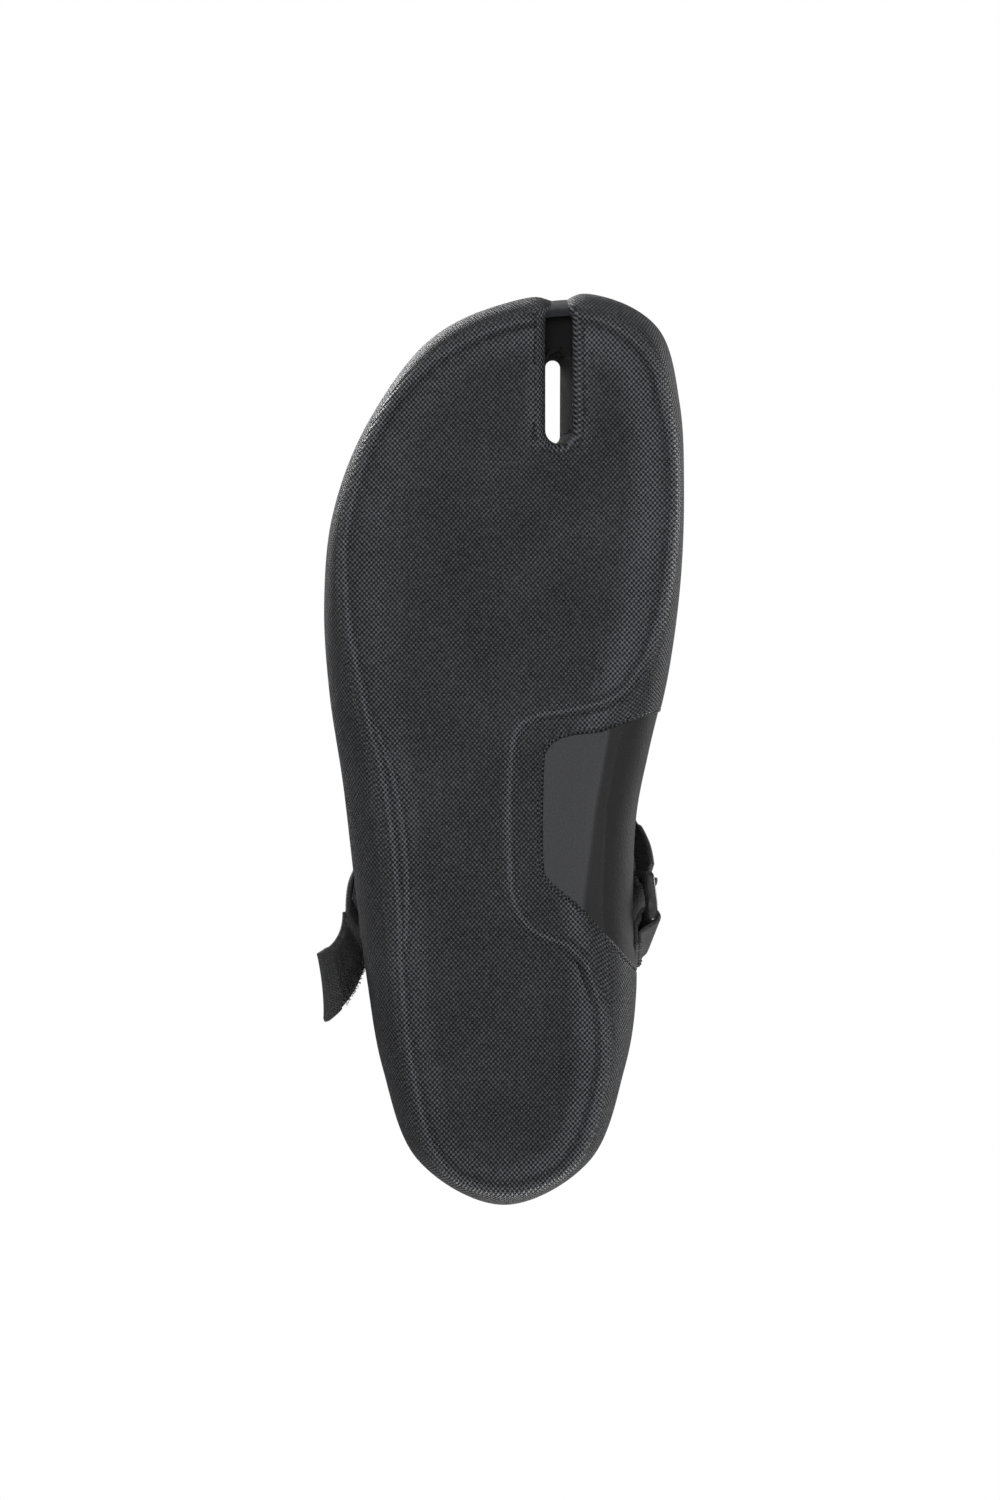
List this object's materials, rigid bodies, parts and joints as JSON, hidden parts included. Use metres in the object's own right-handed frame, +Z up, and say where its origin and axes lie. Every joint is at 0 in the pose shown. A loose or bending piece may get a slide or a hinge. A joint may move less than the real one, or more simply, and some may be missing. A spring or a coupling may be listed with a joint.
{
  "type": "neoprene boot",
  "caption": "Right-foot split-toe neoprene reef boot with a moulded rubber outsole, instep strap through a plastic ring and a heel pull loop.",
  "frame": {"origin": "on the flat of the tread, on the boot's centre line, half way between toe and heel", "axes": "+Z up from the ground, +Y towards the heel, +X towards the big-toe side of this right boot"},
  "size_m": [0.1148, 0.2853, 0.1525],
  "materials": {
    "rubber_sole": "charcoal moulded rubber with a fine canvas-like emboss, satin",
    "arch_rubber": "thin fine-grain rubber coating over neoprene, matt grey",
    "neoprene": "knit-faced neoprene, matt charcoal",
    "foam": "moulded EVA foam with a fabric face",
    "lining": "thin jersey tape and lining",
    "binding": "folded elastic binding, stitched",
    "webbing": "woven nylon webbing",
    "loop_pile": "brushed loop pile",
    "hook_tape": "moulded hook tape",
    "hard_plastic": "black moulded plastic, glossy"
  },
  "bodies": {
    "root": {"outsole": "rubber_sole", "arch_panel": "arch_rubber", "bottom_sock": "neoprene", "insole": "foam", "toe_gusset": "lining", "toe_bridge": "rubber_sole", "vamp": "neoprene", "instep_panel": "neoprene", "lateral_quarter": "neoprene", "medial_quarter": "neoprene", "heel_panel": "neoprene", "cuff": "neoprene", "cuff_binding": "binding", "lateral_seam_tape": "lining", "medial_seam_tape": "lining", "heel_seam_tape_left": "lining", "heel_seam_tape_right": "lining", "strap_patch": "webbing", "strap_base": "webbing", "loop_patch": "loop_pile", "strap_return": "webbing", "ring": "hard_plastic", "ring_anchor": "webbing", "anchor_patch": "webbing"},
    "flap": {"strap_flap": "webbing", "hook_patch": "hook_tape"},
    "tail": {"strap_tail": "webbing", "tail_hem": "webbing"},
    "pull_loop": {"pull_tab": "webbing"}
  },
  "joints": [
    {"name": "flap_open", "type": "hinge", "parent": "root", "child": "flap", "pos_m": [-0.00768, -0.00086, 0.08406], "axis": [0.1705, 0.7025, 0.691], "range_deg": [0, 110]},
    {"name": "tail_fold", "type": "hinge", "parent": "flap", "child": "tail", "pos_m": [-0.04718, 0.05682, 0.04148], "axis": [0.2756, 0.4296, 0.8599], "range_deg": [0, 60]},
    {"name": "pull_loop_fold", "type": "hinge", "parent": "root", "child": "pull_loop", "pos_m": [0, 0.1256, 0.1065], "axis": [1, 0, 0], "range_deg": [-50, 0]}
  ]
}
